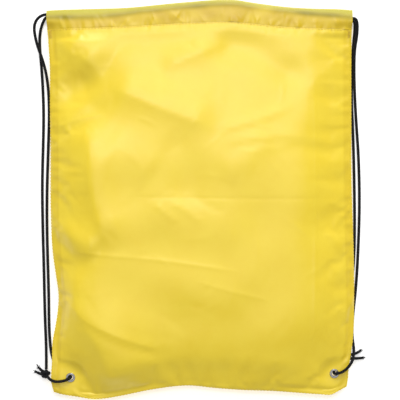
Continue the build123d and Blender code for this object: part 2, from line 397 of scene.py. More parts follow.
THREAD_PITCH = 0.00062
YELLOW = (0.910, 0.686, 0.038)
MOTTLED_YELLOW = (0.890, 0.658, 0.030)
TINTS = {  # vertex attributes, and the tone that each one mixes in
    # painted shade: extra cloth layers, mixed in darker for the light they let through less
    "layers": (0.655, 0.430, 0.001),
    "green_fold": (0.590, 0.530, 0.026),
    "show_through": (0.330, 0.270, 0.004),
}


def make_cloth_material():
    """Thin plain-weave polyester: faintly mottled yellow with a soft gloss, tinted by layer, with
    painted shade where extra layers let less light through.
    """
    material, tree, shader = node_material("yellow_polyester", 0.38, YELLOW, 0.66, 0.02)
    mottle = noise(tree, 38.0, 6.0, 0.62)
    colour = two_tones(tree, mottle, MOTTLED_YELLOW, YELLOW, (0.35, 0.62))
    for attribute, tone in TINTS.items():
        share = add_node(tree, "ShaderNodeAttribute", attribute_name=attribute)
        mix = add_node(tree, "ShaderNodeMix", data_type="RGBA")
        tree.links.new(share.outputs["Fac"], mix.inputs[0])
        tree.links.new(colour, mix.inputs[6])
        mix.inputs[7].default_value = (*tone, 1)
        colour = mix.outputs[2]
    tree.links.new(colour, shader.inputs["Base Color"])
    vary_roughness(tree, shader, mottle, 0.29, 0.41)
    weave = add_bump(tree, shader, weave_height(tree, THREAD_PITCH), 0.35, 0.00006)
    add_bump(tree, shader, noise(tree, 420.0, 3.0), 0.25, 0.00012, weave)
    return material


def make_yarn_material(name, look, fibre, low, high, span, bump):
    """Spun or braided yarn: two tones of fibre and a fine relief."""
    material, tree, shader = node_material(name, *look)
    value = noise(tree, *fibre)
    tree.links.new(two_tones(tree, value, low, high, span), shader.inputs["Base Color"])
    add_bump(tree, shader, value, *bump)
    return material


def make_metal_material():
    """Nickel-plated eyelet metal with fine wear."""
    material, tree, shader = node_material("nickel", 0.3, (0.72, 0.72, 0.73), 0.5)
    shader.inputs["Metallic"].default_value = 1.0
    wear = noise(tree, 900.0, 5.0)
    vary_roughness(tree, shader, wear, 0.2, 0.42)
    tint = two_tones(tree, wear, (0.26, 0.26, 0.27), (0.44, 0.43, 0.43))
    tree.links.new(tint, shader.inputs["Base Color"])
    return material


MATERIALS = {
    "cloth": make_cloth_material(),
    # spun sewing thread, a little darker than the cloth
    "thread": make_yarn_material(
        "yellow_thread", (0.6, (0.72, 0.50, 0.05), 0.3, 0.3), (2600.0, 2.0),
        (0.66, 0.45, 0.03), (0.88, 0.66, 0.07), (0.0, 1.0), (0.5, 0.00008),
    ),
    # black polyester braid with a dull sheen
    "cord": make_yarn_material(
        "black_braid", (0.74, (0.008, 0.008, 0.009), 0.16, 0.02), (3200.0, 3.0),
        (0.003, 0.003, 0.004), (0.016, 0.016, 0.018), (0.3, 0.8), (0.6, 0.0001),
    ),
    "eyelet_metal": make_metal_material(),
}

# ---- the cords ----


def make_drawcords():
    """Strands, knots and frayed tails of both drawcords."""
    tails = {
        name: make_tail(name, route, seed)
        for seed, (name, route) in enumerate(TAIL_ROUTES.items(), start=11)
    }
    for side, knot_place, front, back in (
        ("left", LEFT_KNOT, LEFT_FRONT_ROUTE, LEFT_BACK_ROUTE),
        ("right", RIGHT_KNOT, RIGHT_FRONT_ROUTE, RIGHT_BACK_ROUTE),
    ):
        knot = make_knot(f"{side}_knot", knot_place)
        on_it = [knot, tails[f"{side}_knot_upper_tail"], tails[f"{side}_knot_lower_tail"]]
        for which, route, pieces in (("front", front, on_it), ("back", back, [])):
            make_strand(f"{side}_{which}_strand", route)


make_drawcords()

# ---- outline of the cloth, seen from above ----

LEFT_EDGE = [
    (-158.5, -208.5), (-160.6, -201), (-160.4, -175), (-159.5, -152), (-156.5, -136),
    (-154, -119), (-153.2, -104), (-156, -82), (-159.3, -59), (-161.6, -16), (-162, 54),
    (-162.6, 100), (-163, 152), (-164.3, 170), (-165.4, 184.6),
]
RIGHT_EDGE = [
    (159, -202.4), (160.2, -195), (160.7, -186.6), (163.8, -165), (165.8, -150),
    (167, -108.5), (166.6, -60), (165.8, -32.5), (164.2, 21.7), (164, 90), (164, 152),
    (164.4, 184.2),
]
BOTTOM_EDGE = [
    (-158.5, -208.5), (-148, -211), (-134.5, -213), (-115, -215.8), (-101, -214.8),
    (-87, -212.4), (-50, -205), (-11, -201), (15, -203.6), (45, -205.8), (80, -207),
    (110, -209.2), (131, -210.6), (142.5, -211), (150.5, -206.8), (159, -202.4),
]
STITCH_LINE = [
    (-165.4, 184.6), (-140, 184.9), (-110, 185.6), (-76, 187.2), (-37, 189.6), (0, 191.2),
    (28, 192), (51, 190.6), (67, 188.9), (98, 186.2), (119, 185.2), (140, 184.6),
    (164.4, 184.2),
]
FOLD_LINE = [
    (-165.6, 204.3), (-160, 204.8), (-150, 205.3), (-120, 206.2), (-76, 207.8), (-56, 209.6),
    (-37, 211.6), (-10, 214), (10, 215.6), (28, 216.4), (40, 215.8), (51, 214),
    (67, 211.6), (98, 208), (119, 206.8), (150, 206), (164.4, 205),
]


def through(values, along, wanted):
    """Values at the wanted places, on a smooth curve through the given ones."""
    shape = (-1,) + (1,) * (values.ndim - 1)
    slopes = np.gradient(values, along, axis=0)
    i = np.clip(np.searchsorted(along, wanted, side="right") - 1, 0, len(along) - 2)
    h = (along[i + 1] - along[i]).reshape(shape)
    t = ((wanted - along[i]).reshape(shape)) / h
    return (
        values[i] * (2 * t**3 - 3 * t**2 + 1) + values[i + 1] * (3 * t**2 - 2 * t**3)
        + slopes[i] * h * (t**3 - 2 * t**2 + t) + slopes[i + 1] * h * (t**3 - t**2)
    )


def smooth_line(points, count):
    """Even points on a smooth line through the given ones."""
    points = np.asarray(points, float)
    along = distances_along(points)
    return through(points, along, np.linspace(0, along[-1], count))


def finer(grid, rows, columns):
    """A coarse grid of points carried over smoothly to a finer one."""
    taller = through(grid, np.arange(len(grid)), np.linspace(0, len(grid) - 1, rows))
    turned = taller.swapaxes(0, 1)
    wider = through(turned, np.arange(len(turned)), np.linspace(0, len(turned) - 1, columns))
    return wider.swapaxes(0, 1)


def coons(low, high, left, right):
    """A grid of plan points that fills the space between four edge lines."""
    rows, columns = len(left), len(low)
    u = np.linspace(0, 1, columns)[None, :, None]
    v = np.linspace(0, 1, rows)[:, None, None]
    across = low[None] * (1 - v) + high[None] * v
    along = left[:, None] * (1 - u) + right[:, None] * u
    corners = (
        low[0] * (1 - u) * (1 - v) + low[-1] * u * (1 - v)
        + high[0] * (1 - u) * v + high[-1] * u * v
    )
    return across + along - corners


def panel_plan(columns, rows):
    """Plan points of a panel, row by row from the bottom seam to the casing's stitches."""
    return coons(
        smooth_line(BOTTOM_EDGE, columns), smooth_line(STITCH_LINE, columns),
        smooth_line(LEFT_EDGE, rows), smooth_line(RIGHT_EDGE, rows),
    )


# ---- folds ----


def smoothstep(low, high, x):
    t = np.clip((x - low) / (high - low), 0, 1)
    return t * t * (3 - 2 * t)


def line_distance(plan, points):
    """Signed distance from a bent line, and how far along it the nearest point is, 0 to 1."""
    points = smooth_line(points, 40)
    best = np.full(plan.shape[:-1], 1e9)
    signed = np.zeros(plan.shape[:-1])
    where = np.zeros(plan.shape[:-1])
    last = len(points) - 2
    for i, (a, b) in enumerate(zip(points, points[1:])):
        run = b - a
        length2 = run @ run
        t = np.clip(((plan - a) @ run) / length2, 0, 1)
        off = plan - (a + t[..., None] * run)
        d = np.hypot(off[..., 0], off[..., 1])
        cross = run[0] * off[..., 1] - run[1] * off[..., 0]
        nearer = d < best
        best = np.where(nearer, d, best)
        signed = np.where(nearer, np.sign(cross) * d, signed)
        where = np.where(nearer, (i + t) / (last + 1), where)
    return signed, where


CREST_ROUND = 0.12  # rounding of a facet's crest, as a share of its width
FACET_BACK = 1.5  # how much further a facet reaches behind its crest


def fold_place(plan, points, ends=0.25):
    """Signed distance from a fold's line, and the fold's strength, which dies at its ends."""
    d, along = line_distance(plan, points)
    return d, smoothstep(0, ends, along) * smoothstep(0, ends, 1 - along)


def ridge(plan, points, height, width):
    """A rounded ridge, or a valley where height is negative."""
    d, fade = fold_place(plan, points)
    return height * fade * np.exp(-((d / width) ** 2))


def crease(plan, points, height, width):
    """A sharp pressed line."""
    d, fade = fold_place(plan, points, 0.2)
    return height * fade * np.exp(-np.abs(d) / width)


def drape(plan, points, height, width):
    """A fold whose left side, looking along the line, stands high and right side lies low."""
    d, fade = fold_place(plan, points)
    s = d / width
    return height * fade * s * np.exp(0.5 - s * s / 2)


def facet(plan, points, height, width):
    """A crisp crest whose right side, looking along the line, falls away over its width."""
    d, fade = fold_place(plan, points)
    right = np.exp(-np.sqrt((np.minimum(d, 0) / width) ** 2 + CREST_ROUND**2) + CREST_ROUND)
    left = np.exp(-((np.maximum(d, 0) / (FACET_BACK * width)) ** 2))
    return height * fade * right * left


# Each fold: how it is shaped, its line on the cloth, its height and its width.
FRONT_FOLDS = [
    (facet, [(-44, 136), (-13, 152), (14, 164), (38, 170)], 1.2, 11),
    (ridge, [(-4, 160), (40, 163), (84, 146), (122, 122)], -2.2, 17),
    (ridge, [(-150, 166), (-60, 170), (20, 172), (90, 166), (150, 162)], -0.9, 13),
    (facet, [(-108, 127), (-67, 109), (-13, 87), (24, 76)], 3.4, 20),
    (facet, [(-190, 186), (-152, 167), (-124, 152), (-102, 136)], 4.1, 22),
    (ridge, [(-196, 98), (-156, 113), (-128, 122), (-104, 130)], -4.4, 21),
    (ridge, [(-164, 74), (-136, 94), (-100, 124)], 1.5, 11),
    (facet, [(-126, 98), (-117, 43), (-114, 4), (-104, -30), (-94, -60)], 4.8, 18),
    (ridge, [(-160, -22), (-138, -40), (-104, -54)], 3.0, 14),
    (drape, [(-152, -80), (-60, -90), (30, -102), (110, -108)], 0.85, 24),
    (facet, [(-172, -70), (-136, -112), (-108, -152), (-84, -226)], 6.0, 28),
    (ridge, [(-104, 62), (-74, 42), (-46, 24)], 1.1, 22),
    (ridge, [(-34, 76), (-14, 34), (-18, -10)], -1.1, 19),
    (drape, [(-74, -22), (-4, -40), (62, -52)], 0.8, 22),
    (ridge, [(20, 20), (50, 44), (76, 76)], 0.8, 15),
    (drape, [(-40, -112), (10, -122), (60, -122)], 0.5, 18),
    (drape, [(-146, -108), (-110, -136), (-66, -156), (-20, -163)], 0.28, 5),
    (drape, [(149, 160), (150, 40), (149, -70)], 2.0, 12),
    (drape, [(168, 170), (144, 152), (120, 132)], 0.4, 9),
    (drape, [(18, 56), (62, 62), (120, 60), (158, 48)], 0.28, 6),
    (ridge, [(14, 73), (60, 86), (105, 104)], 0.4, 6),
    (ridge, [(33, 50), (70, 55), (105, 59)], 0.3, 5),
    (ridge, [(-50, -4), (-36, -14), (-24, -25)], 0.3, 4),
    (ridge, [(-33, 1), (-14, -12), (6, -28)], 0.32, 5),
    (ridge, [(-12, 6), (8, -6), (30, -14)], -0.25, 5),
    (ridge, [(132, -30), (146, -44), (160, -62)], 0.7, 5),
    (ridge, [(140, -72), (152, -80), (162, -96)], 0.6, 4.5),
    (ridge, [(146, -114), (156, -124), (166, -132)], 0.9, 4.5),
    (drape, [(-120, -186), (-40, -180), (50, -182), (130, -186)], 0.6, 9),
]
# Each crease: its line on the cloth, its height and its width.
FRONT_CREASES = [
    ([(-158, 78), (-130, 86), (-102, 92)], 0.6, 2.4),
    ([(-158, -52), (-100, -59), (-54, -63), (0, -70), (50, -78)], 0.6, 2.6),
    ([(-148, -100), (-122, -128), (-86, -145), (-36, -163)], 0.45, 2.4),
    ([(-6, -86), (36, -98), (78, -108)], 0.4, 3),
    ([(-90, 3), (0, 2), (90, 1), (163, 2)], -0.32, 2.2),
    ([(122, 142), (124, 60), (123, -60), (121, -184)], 0.65, 2.0),
    ([(136, -60), (137, -120), (136, -180)], -0.45, 2.0),
]
FOLD_SCALE = 1.6  # how much deeper the soft folds are than their drawn heights


def soft_waves(plan, seed, count, reach, size):
    """Gentle uneven swells: many faint waves of mixed direction and length."""
    rng = np.random.default_rng(seed)
    height = np.zeros(plan.shape[:-1])
    for _ in range(count):
        heading = rng.uniform(0, math.pi)
        length = rng.uniform(*reach)
        phase = rng.uniform(0, 2 * math.pi)
        s, _ = turned(plan, heading)
        height += np.sin(2 * math.pi * s / length + phase)
    return size * height / math.sqrt(count)


def small_wrinkles(plan, seed, count, size):
    """Short faint wrinkles scattered over the cloth."""
    rng = np.random.default_rng(seed)
    height = np.zeros(plan.shape[:-1])
    for _ in range(count):
        middle = rng.uniform([-150, -195], [150, 175])
        heading = rng.uniform(0, math.pi)
        half = rng.uniform(8, 26)
        width = rng.uniform(2.4, 5.0)
        lift = size * rng.choice([-1, 1]) * rng.uniform(0.5, 1.0)
        s, d = turned(plan - middle, heading)
        d = d - s * s / (half * 9)
        height += lift * np.exp(-((s / half) ** 2) - (d / width) ** 2)
    return height


GATHER_COUNT = 84
GATHER_SIZE = 0.55


def gathers(plan):
    """Short uneven puckers across the casing's stitches, on the casing and the panel alike."""
    rng = np.random.default_rng(41)
    stitch = np.array(STITCH_LINE)
    height = np.zeros(plan.shape[:-1])
    for _ in range(GATHER_COUNT):
        x = rng.uniform(-160, 160)
        y = np.interp(x, stitch[:, 0], stitch[:, 1]) + rng.uniform(-4, 11)
        lean = rng.normal(0, 0.45)
        half = rng.uniform(3, 8)
        width = rng.uniform(1.4, 3.4)
        lift = GATHER_SIZE * rng.uniform(0.3, 1.0) * rng.choice([-1, 1])
        d, s = turned(plan - [x, y], lean)
        height += lift * np.exp(-((d / width) ** 2) - (s / half) ** 2)
    return height


# ---- the bag's body ----

EYELETS = [(-140.3, -192.4), (145.6, -188.0)]
SEAM_FLAT = 4.0
ROLL_DEPTH = 0.9
ROLL_REACH = 2.2
SIDE_RUN = 66.0
BOTTOM_RUN = 108.0
SWELL_POWER = 2.1
EDGE_POWER = 4.0  # the higher, the crisper the cloth's fold out of a corner
CROWN = 15.5
MOUTH_CROWN = 6.2
MOUTH_FLAT = 34.0  # how far below the stitches the cloth stays at the casing's level
MOUTH_FALL = 160.0  # where the fall towards the mouth begins, below the stitches
PUCKER_REACH = 13.0
PUCKER_LENGTHS = (5.3, 7.9, 11.6, 17.0)
DIP_REACH = 38.0
DIP_SHARE = 0.92  # how much of the cloth's rise an eyelet takes away
BACK_SINK = 10.0  # how far below its seams the back cloth lies
BACK_RUN = 34.0
BACK_BOTTOM_RUN = 40.0
RIM_HALF = 1.1  # how far each cloth's outer face is from the middle of the rim
PARTING_REACH = 13.0  # how far below the stitches the two cloths part at the side edges
FRONT_PARTING = 1.7
BACK_PARTING = 4.6


def swell(distance, run):
    """How far the cloth has risen from the flat seam at some distance inside it."""
    t = np.clip((distance - SEAM_FLAT) / run, 0, 1)
    return 1 - (1 - t) ** SWELL_POWER


def least(shares):
    """A smooth stand-in for the least of several shares, which is 1 where all of them are."""
    inverse = [np.maximum(share, 1e-3) ** -EDGE_POWER for share in shares]
    return np.mean(inverse, axis=0) ** (-1 / EDGE_POWER)


def edge_distances(plan):
    """Distances inside the left, right and bottom seams and the stitched mouth line."""
    left, right, bottom, top = map(np.array, (LEFT_EDGE, RIGHT_EDGE, BOTTOM_EDGE, STITCH_LINE))
    x, y = plan[..., 0], plan[..., 1]
    return (
        x - np.interp(y, left[:, 1], left[:, 0]), np.interp(y, right[:, 1], right[:, 0]) - x,
        y - np.interp(x, bottom[:, 0], bottom[:, 1]), np.interp(x, top[:, 0], top[:, 1]) - y,
    )


def seam_distance(plan):
    """Distance inside the nearest of the three seams."""
    return np.minimum.reduce(edge_distances(plan)[:3])


def side_distance(plan):
    """Distance inside the nearer side seam."""
    return np.minimum.reduce(edge_distances(plan)[:2])


def pucker(run, inside, seed, size):
    """Small gathers square to a seam, strongest at the stitches."""
    rng = np.random.default_rng(seed)
    height = np.zeros(run.shape)
    for length in PUCKER_LENGTHS:
        phase = rng.uniform(0, 2 * math.pi)
        place = run + 2.2 * np.sin(run / 23.0 + phase)
        share = length / PUCKER_LENGTHS[-1]
        height += np.sin(2 * math.pi * place / length + phase) * share
    strength = 0.35 + 0.65 * (0.5 + 0.5 * np.sin(run / 31.0 + seed)) ** 2
    return size * height * strength * np.exp(-inside / PUCKER_REACH)


def edge_roll(inside):
    """How far the cloth turns down into a seam at its very edge."""
    return ROLL_DEPTH * (1 - np.sqrt(np.clip(inside / ROLL_REACH, 0, 1)))


def parting(plan, mouth):
    """How far along the two cloths have come apart, above the end of a side seam."""
    near_mouth = 1 - smoothstep(0, PARTING_REACH, mouth)
    return near_mouth * (1 - smoothstep(6, 60, side_distance(plan)))


def eyelet_dip(plan):
    """How much of the cloth's rise is left near the eyelets, which hold the layers together."""
    share = np.ones(plan.shape[:-1])
    for x, y in EYELETS:
        away = np.hypot(plan[..., 0] - x, plan[..., 1] - y)
        share *= 1 - DIP_SHARE * np.exp(-((away / DIP_REACH) ** 2))
    return share


def front_shape(plan):
    """The broad shape of the front cloth, in millimetres above the floor."""
    left, right, bottom, mouth = edge_distances(plan)
    crown = MOUTH_CROWN + (CROWN - MOUTH_CROWN) * smoothstep(MOUTH_FLAT, MOUTH_FALL, mouth)
    rises = [swell(left, SIDE_RUN), swell(right, SIDE_RUN), swell(bottom, BOTTOM_RUN)]
    body = crown * least(rises) * eyelet_dip(plan)
    calm = smoothstep(2, 26, seam_distance(plan)) * (0.2 + 0.8 * smoothstep(0, 18, mouth))
    folds = FOLD_SCALE * sum(shape(plan, *fold) for shape, *fold in FRONT_FOLDS)
    folds = folds + soft_waves(plan, 3, 14, (60, 150), 0.6)
    lift = FRONT_PARTING * parting(plan, mouth)
    return RIM_Z + RIM_HALF + body + folds * calm + lift


def front_detail(plan):
    """Creases, small wrinkles and gathers of the front cloth."""
    left, right, bottom, mouth = edge_distances(plan)
    near_seam = seam_distance(plan)
    calm = smoothstep(2, 20, near_seam) * (0.35 + 0.65 * smoothstep(0, 18, mouth))
    fine = sum(crease(plan, *line) for line in FRONT_CREASES) + small_wrinkles(plan, 8, 60, 0.22)
    x, y = plan[..., 0], plan[..., 1]
    puckers = pucker(y, left, 5, 0.2) + pucker(y, right, 9, 0.2) + pucker(x, bottom, 14, 0.16)
    side = side_distance(plan)
    allowance = 0.12 * (1 - smoothstep(8.0, 10.2, side)) * smoothstep(0, 3, side)
    allowance *= smoothstep(20, 60, bottom)
    return fine * calm + puckers + gathers(plan) + allowance - edge_roll(near_seam)


def back_shape(plan):
    """The broad shape of the back cloth, nearly flat where it lies on the floor."""
    left, right, bottom, mouth = edge_distances(plan)
    share = swell(left, BACK_RUN) * swell(right, BACK_RUN) * swell(bottom, BACK_BOTTOM_RUN)
    lift = 0.5 + soft_waves(plan, 17, 10, (50, 130), 0.35)
    drop = BACK_SINK * share + BACK_PARTING * parting(plan, mouth) * (1 - share)
    return RIM_Z - RIM_HALF - drop + lift * smoothstep(0, 30, seam_distance(plan))


def back_detail(plan):
    """Small wrinkles and gathers of the back cloth."""
    left, right, bottom, _ = edge_distances(plan)
    near_seam = seam_distance(plan)
    x, y = plan[..., 0], plan[..., 1]
    puckers = pucker(x, bottom, 31, 0.2) + pucker(y, left, 6, 0.2) + pucker(y, right, 3, 0.2)
    fine = small_wrinkles(plan, 28, 40, 0.25) * smoothstep(0, 20, near_seam)
    return fine + puckers - gathers(plan) + edge_roll(near_seam)


CLOTH_T = 0.35
LOWEST_CLOTH = 0.4  # height of the outer face where cloth lies on the floor


def grid_normals(points):
    """Unit normals of a grid of points."""
    du = np.gradient(points, axis=1)
    dv = np.gradient(points, axis=0)
    normals = np.cross(du, dv)
    return normals / np.linalg.norm(normals, axis=-1, keepdims=True)


def grid_quads(rows, columns):
    """The quads between a grid's points, as rows of four indices."""
    index = np.arange(rows * columns).reshape(rows, columns)
    corners = [index[:-1, :-1], index[:-1, 1:], index[1:, 1:], index[1:, :-1]]
    return np.stack(corners, axis=-1).reshape(-1, 4)


def kept_faces(points, quads, holes):
    """The quads of a grid that no eyelet hole takes away."""
    middles = points.reshape(-1, 3)[quads].mean(axis=1)
    keep = np.ones(len(quads), bool)
    for x, y, radius in holes:
        keep &= np.hypot(middles[:, 0] - x, middles[:, 1] - y) > radius
    return quads[keep]


def open_edges(quads, count):
    """Directed edges that only one quad has."""
    edges = np.concatenate([quads[:, [i, (i + 1) % 4]] for i in range(4)])
    start, end = edges.astype(np.int64).T
    return edges[~np.isin(start * count + end, end * count + start)]


def make_grid_cloth(name, points, normals, tint, holes=()):
    """A thin closed cloth from a grid of points: an outer face, an inner face and its edges."""
    rows, columns = points.shape[:2]
    outer = points.reshape(-1, 3)
    inner = (points - normals * CLOTH_T).reshape(-1, 3)
    count = rows * columns
    top = kept_faces(points, grid_quads(rows, columns), holes)
    edges = open_edges(top, count)
    walls = np.stack([edges[:, 1], edges[:, 0], edges[:, 0] + count, edges[:, 1] + count], axis=1)
    faces = np.concatenate([top, top[:, ::-1] + count, walls])
    used = np.unique(faces)
    renumber = np.zeros(2 * count, int)
    renumber[used] = np.arange(len(used))
    obj = add_mesh(name, np.concatenate([outer, inner])[used], renumber[faces].tolist())
    both_normals = np.concatenate([normals, -normals]).reshape(-1, 3)
    obj.data.normals_split_custom_set_from_vertices(both_normals[used].tolist())
    for attribute, values in zip(TINTS, tint):
        shade = obj.data.attributes.new(attribute, "FLOAT", "POINT")
        shade.data.foreach_set("value", np.tile(values.ravel(), 2)[used].astype(np.float32))
    return obj


# ---- cloth simulation ----

PANEL_COLUMNS = 209
PANEL_ROWS = 249
COARSE_COLUMNS = 67
COARSE_ROWS = 81
SIM_FRAMES = 24
SIM_GROWTH = 0.009  # how much larger the loose cloth is than the space its seams leave it
SIM_SETTINGS = {
    "quality": 6, "mass": 0.1, "tension_stiffness": 12, "compression_stiffness": 12,
    "shear_stiffness": 5, "bending_stiffness": 0.4, "shrink_min": -SIM_GROWTH,
    "shrink_max": -SIM_GROWTH, "use_pressure": True, "uniform_pressure_force": 1.5,
}
SIM_CAP = 6.0  # the furthest that a point may move, in millimetres
SIM_SHARE = 0.8  # how much of the simulated movement the cloth takes on
SIM_SMOOTH = 30  # passes that separate the broad movement from the small puckers


def smoothed(grid, passes):
    """A grid of values with its small changes evened out and its rim left alone."""
    grid = grid.copy()
    for _ in range(passes):
        inner = grid[1:-1, 1:-1]
        around = grid[:-2, 1:-1] + grid[2:, 1:-1] + grid[1:-1, :-2] + grid[1:-1, 2:]
        grid[1:-1, 1:-1] = 0.5 * inner + 0.125 * around
    return grid


def relax_cloth(points):
    """Lets a coarse cloth, held at its seams and slightly too large, find its own folds."""
    rows, columns = points.shape[:2]
    obj = add_mesh("loose_cloth", points.reshape(-1, 3), grid_quads(rows, columns).tolist())
    rim = np.ones((rows, columns), bool)
    rim[1:-1, 1:-1] = False
    held = obj.vertex_groups.new(name="held")
    held.add(np.flatnonzero(rim).tolist(), 1.0, "REPLACE")
    cloth = obj.modifiers.new("cloth", "CLOTH").settings
    for setting, value in SIM_SETTINGS.items():
        setattr(cloth, setting, value)
    cloth.effector_weights.gravity = 0
    cloth.vertex_group_mass = "held"
    scene = bpy.context.scene
    for number in range(1, SIM_FRAMES + 1):
        scene.frame_set(number)
    shaped = obj.evaluated_get(bpy.context.evaluated_depsgraph_get()).data
    moved = np.empty(points.size)
    shaped.vertices.foreach_get("co", moved)
    moved = moved.reshape(points.shape) / MM
    scene.frame_set(1)
    bpy.data.objects.remove(obj)
    shift = moved - points
    size = np.linalg.norm(shift, axis=-1, keepdims=True)
    shift = shift * np.minimum(1, SIM_CAP / np.maximum(size, 1e-6))
    broad = smoothed(shift, SIM_SMOOTH)
    puckers = shift - broad
    fade = (1 - smoothstep(12, 58, seam_distance(points[..., :2])))[..., None]
    return points + SIM_SHARE * (broad + puckers * fade)


MOUTH_MIDDLE = (0.0, 216.0)
HALVES = {  # mouth corner and bottom corner
    "left": ((-165.4, 190.0, 12.0), (-158.5, -208.5)),
    "right": ((164.4, 190.0, 12.0), (157.5, -203.5)),
}


def follow_mouth(piece, side):
    """Bakes the placement of one half of the cloth into its mesh."""
    corner, low = map(np.array, HALVES[side])
    run = MOUTH_MIDDLE - low
    run = run / np.linalg.norm(run)
    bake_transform(piece)


EYELET_CUT = 3.7
HOLES = [(x, y, EYELET_CUT) for x, y in EYELETS]


def split_halves(name, node, points, tint, holes=()):
    """Left and right halves of a cloth grid, which meet at its middle column."""
    normals = grid_normals(points)
    middle = points.shape[1] // 2
    order = ("left", "right") if points[0, 0, 0] < points[0, -1, 0] else ("right", "left")
    for side, columns in zip(order, (slice(0, middle + 1), slice(middle, None))):
        piece = make_grid_cloth(
            f"{name}_{side}", points[:, columns], normals[:, columns], tint[:, :, columns], holes
        )
        dress(piece, node, "cloth")
        follow_mouth(piece, side)


def press_at_eyelets(points, level):
    """Brings the cloth level where an eyelet clamps it."""
    height = points[..., 2]
    for x, y, radius in HOLES:
        away = np.hypot(points[..., 0] - x, points[..., 1] - y)
        hold = 1 - smoothstep(5.4, 20, away)
        height = height * (1 - hold) + level * hold
    return np.concatenate([points[..., :2], height[..., None]], axis=-1)


def seam_shade(plan):
    """Where the folded seam allowance behind the cloth makes its colour deeper: painted shade for
    the light that the doubled cloth lets through less.
    """
    side = side_distance(plan)
    bottom = edge_distances(plan)[2]
    allowance = 0.25 * (1 - smoothstep(8.4, 9.4, side))
    line = 0.12 * np.exp(-(((side - 9.0) / 0.9) ** 2)) * smoothstep(20, 60, bottom)
    nothing = np.zeros(side.shape)
    return np.stack([allowance + line, nothing, nothing])


FRONT_LEVEL_AT_EYELET = 11.96
BACK_LEVEL_AT_EYELET = 10.04


def make_panel(shape, detail, level, flip):
    """A panel's grid: its broad shape relaxed as cloth, then its fine detail."""
    coarse_plan = panel_plan(COARSE_COLUMNS, COARSE_ROWS)
    coarse = np.concatenate([coarse_plan, shape(coarse_plan)[..., None]], axis=-1)
    if flip:
        coarse = coarse[:, ::-1]
    points = finer(relax_cloth(coarse), PANEL_ROWS, PANEL_COLUMNS)
    plan = points[..., :2]
    height = np.maximum(points[..., 2] + detail(plan), LOWEST_CLOTH)
    points = np.concatenate([plan, height[..., None]], axis=-1)
    return press_at_eyelets(points, level)


def make_panels():
    front = make_panel(front_shape, front_detail, FRONT_LEVEL_AT_EYELET, False)
    split_halves(
        "front_cloth", "front_panel", front, seam_shade(front[..., :2]), HOLES,
    )
    back = make_panel(back_shape, back_detail, BACK_LEVEL_AT_EYELET, True)
    split_halves(
        "back_cloth", "back_panel", back, seam_shade(back[..., :2]), HOLES
    )
    return front, back


# ---- casings ----

CASING_AROUND = 56
CASING_COLUMNS = 261
CORD_BAND = [  # x, and how far the cords lie below the casing's fold
    (-165, 7.4), (-150, 8.2), (-108, 8.8), (-66, 5.8), (-14, 5.3), (62, 5.0), (100, 5.0),
    (130, 6.4), (146, 7.0), (165, 8.2),
]
BAND_WIDTH = 3.0
FRONT_CASING_Z = 16.0
BACK_CASING_Z = 3.6
CASING_EASE = 9.0  # how far above the stitches the casing has reached its own height


def cord_band(x):
    """How far below the fold the cords show through the casing."""
    xs, depths = zip(*CORD_BAND)
    return np.interp(x, xs, depths)


def casing_grid(panel_edge, centre_z, up):
    """A flattened tube along the mouth, from the stitches round over the fold and back."""
    stitch = smooth_line(STITCH_LINE, CASING_COLUMNS)
    fold = smooth_line(FOLD_LINE, CASING_COLUMNS)
    seam_z = np.interp(stitch[:, 0], panel_edge[:, 0], panel_edge[:, 2])[None]
    t = np.linspace(0, 2 * math.pi, CASING_AROUND + 1)[:, None]
    across = 0.5 - 0.5 * np.cos(t)
    plan = stitch[None] * (1 - across[..., None]) + fold[None] * across[..., None]
    width = np.linalg.norm(fold - stitch, axis=1)[None]
    below_fold = (1 - across) * width
    above_stitch = across * width
    rise = smoothstep(0, CASING_EASE, above_stitch)
    bulge = 1.7 + 0.7 * smoothstep(-1.5, 6, below_fold)
    bulge = bulge + 0.3 * np.exp(-(((below_fold - cord_band(plan[..., 0])) / 2.6) ** 2))
    outer = seam_z + (centre_z + up * bulge - seam_z) * rise
    inner_seam = seam_z - up * 0.5
    inner = inner_seam + (centre_z - up * bulge - inner_seam) * rise
    side = np.sign(np.sin(t)) * np.minimum(np.abs(np.sin(t)) * 2.6, 1.0)
    height = (outer + inner) / 2 + side * (outer - inner) / 2
    height = height + up * gathers(plan) * smoothstep(0, 5, below_fold)
    height = np.maximum(height, LOWEST_CLOTH)
    return np.concatenate([plan, height[..., None]], axis=-1)


def casing_tint(points):
    """Two layers of cloth, painted darker as shade for the light they let through less and in
    patches as the shade of small puckers, green towards the fold, with the dark cords showing
    through.
    """
    fold = np.array(FOLD_LINE)
    x, y = points[..., 0], points[..., 1]
    below_fold = np.interp(x, fold[:, 0], fold[:, 1]) - y
    plan = points[..., :2]
    patchy = soft_waves(plan, 5, 9, (14, 60), 0.5)
    faded = soft_waves(plan, 9, 8, (30, 110), 0.5)
    band = np.exp(-(((below_fold - cord_band(x)) / BAND_WIDTH) ** 2))
    band = band * np.clip(0.62 + 0.34 * faded + 0.22 * patchy, 0.25, 1.0)
    dark_end = np.exp(-(((x + 146) / 16) ** 2)) + np.exp(-(((x - 148) / 16) ** 2))
    middle = np.exp(-(((x - 50) / 34) ** 2))
    band = band * (1 + 0.22 * dark_end - 0.45 * middle)
    green = 0.9 * np.exp(-((below_fold / cord_band(x)) ** 4))
    # painted shade: the doubled cloth darker for the light it lets through less, in patches that
    # paint the shade of small puckers
    layers = np.clip(0.62 + 0.40 * patchy, 0, 1) * smoothstep(-0.5, 1.5, below_fold)
    return np.stack([layers, green, np.clip(band, 0, 1)])


